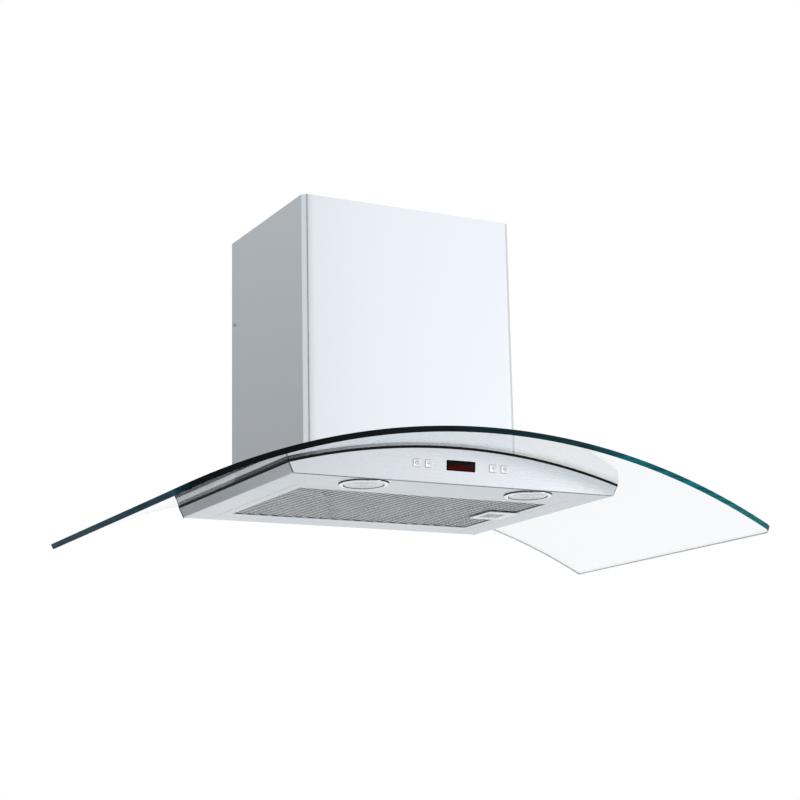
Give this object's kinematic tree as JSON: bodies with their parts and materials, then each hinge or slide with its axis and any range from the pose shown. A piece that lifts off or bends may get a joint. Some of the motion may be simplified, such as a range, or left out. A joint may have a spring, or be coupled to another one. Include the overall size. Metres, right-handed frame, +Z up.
{
  "type": "range hood",
  "caption": "Wall-hung range hood: arched clear glass canopy on a slim steel body, rectangular chimney, mesh grease filter, lamps and push buttons.",
  "frame": {"origin": "on the wall, midway between the two wall fixing holes", "axes": "+X along the wall to the viewer's right, +Y into the wall, -Y the front, +Z up"},
  "size_m": [0.9056, 0.5005, 0.4936],
  "materials": {
    "glass": "clear with a teal edge",
    "rubber": "matt black",
    "stainless": "fine brushed",
    "galvanised": "galvanised",
    "fastener": "zinc",
    "chrome": "polished",
    "lens": "frosted",
    "led_board": "white lacquer",
    "filter_metal": "satin",
    "grey_plastic": "moulded",
    "motor_paint": "satin black",
    "black_plastic": "moulded",
    "display_black": "glossy black",
    "board": "lacquered",
    "button_metal": "satin"
  },
  "bodies": {
    "hood": {"glass_canopy": "glass", "glass_gasket": "rubber", "rear_edge_trim": "rubber", "glass_pads": "rubber", "motor_feet": "rubber", "front_panel": "stainless", "side_panel_left": "stainless", "side_panel_right": "stainless", "rear_panel": "stainless", "chimney_cover": "stainless", "top_deck": "galvanised", "airbox": "galvanised", "airbox_lid": "galvanised", "motor_bracket": "galvanised", "chimney_bracket_left": "galvanised", "chimney_bracket_right": "galvanised", "lamp_cup_left": "galvanised", "lamp_cup_right": "galvanised", "glass_bolts": "fastener", "glass_nuts": "fastener", "chimney_screws": "fastener", "lamp_bezel_left": "chrome", "lamp_bezel_right": "chrome", "lamp_lens_left": "lens", "lamp_lens_right": "lens", "lamp_led_left": "led_board", "lamp_led_right": "led_board", "blower_scroll": "grey_plastic", "outlet_adapter": "grey_plastic", "outlet_collar": "grey_plastic", "motor": "motor_paint", "control_box": "black_plastic", "terminal_box": "black_plastic", "cable_gland": "black_plastic", "lamp_transformer": "black_plastic", "capacitor": "black_plastic", "button_switches": "black_plastic", "display_window": "display_black", "display_module": "display_black", "control_board": "board"},
    "fan": {"impeller": "grey_plastic", "motor_shaft": "fastener"},
    "flap_front": {"damper_flap_front": "grey_plastic"},
    "flap_rear": {"damper_flap_rear": "grey_plastic"},
    "flue": {"inner_flue": "stainless"},
    "filter": {"filter_frame": "filter_metal", "filter_mesh_lower": "filter_metal", "filter_core": "filter_metal", "filter_mesh_upper": "filter_metal", "latch_plate": "chrome"},
    "latch": {"latch_slide": "chrome"},
    "power_button": {"button_power": "button_metal"},
    "minus_button": {"button_minus": "button_metal"},
    "plus_button": {"button_plus": "button_metal"},
    "light_button": {"button_light": "button_metal"}
  },
  "joints": [
    {"name": "fan_spin", "type": "hinge", "parent": "hood", "child": "fan", "pos_m": [0, -0.098, -0.122], "axis": [1, 0, 0], "continuous": true},
    {"name": "damper_front_swing", "type": "hinge", "parent": "hood", "child": "flap_front", "pos_m": [0, -0.134, 0.049], "axis": [-1, 0, 0], "range_deg": [0, 75]},
    {"name": "damper_rear_swing", "type": "hinge", "parent": "hood", "child": "flap_rear", "pos_m": [0, -0.126, 0.049], "axis": [1, 0, 0], "range_deg": [0, 75]},
    {"name": "flue_slide", "type": "slide", "parent": "hood", "child": "flue", "axis": [0, 0, 1], "range_m": [0, 0.25]},
    {"name": "filter_swing", "type": "hinge", "parent": "hood", "child": "filter", "pos_m": [-0.2089, -0.1775, -0.2887], "axis": [0, 1, 0], "range_deg": [0, 75]},
    {"name": "latch_pull", "type": "slide", "parent": "filter", "child": "latch", "axis": [-1, 0, 0], "range_m": [0, 0.007], "stiffness_N_per_m": 300, "springref_m": -0.004},
    {"name": "power_press", "type": "slide", "parent": "hood", "child": "power_button", "axis": [0, 0.9945, 0.1045], "range_m": [0, 0.0012], "stiffness_N_per_m": 600, "springref_m": -0.001},
    {"name": "minus_press", "type": "slide", "parent": "hood", "child": "minus_button", "axis": [0, 0.9945, 0.1045], "range_m": [0, 0.0012], "stiffness_N_per_m": 600, "springref_m": -0.001},
    {"name": "plus_press", "type": "slide", "parent": "hood", "child": "plus_button", "axis": [0, 0.9945, 0.1045], "range_m": [0, 0.0012], "stiffness_N_per_m": 600, "springref_m": -0.001},
    {"name": "light_press", "type": "slide", "parent": "hood", "child": "light_button", "axis": [0, 0.9945, 0.1045], "range_m": [0, 0.0012], "stiffness_N_per_m": 600, "springref_m": -0.001}
  ]
}
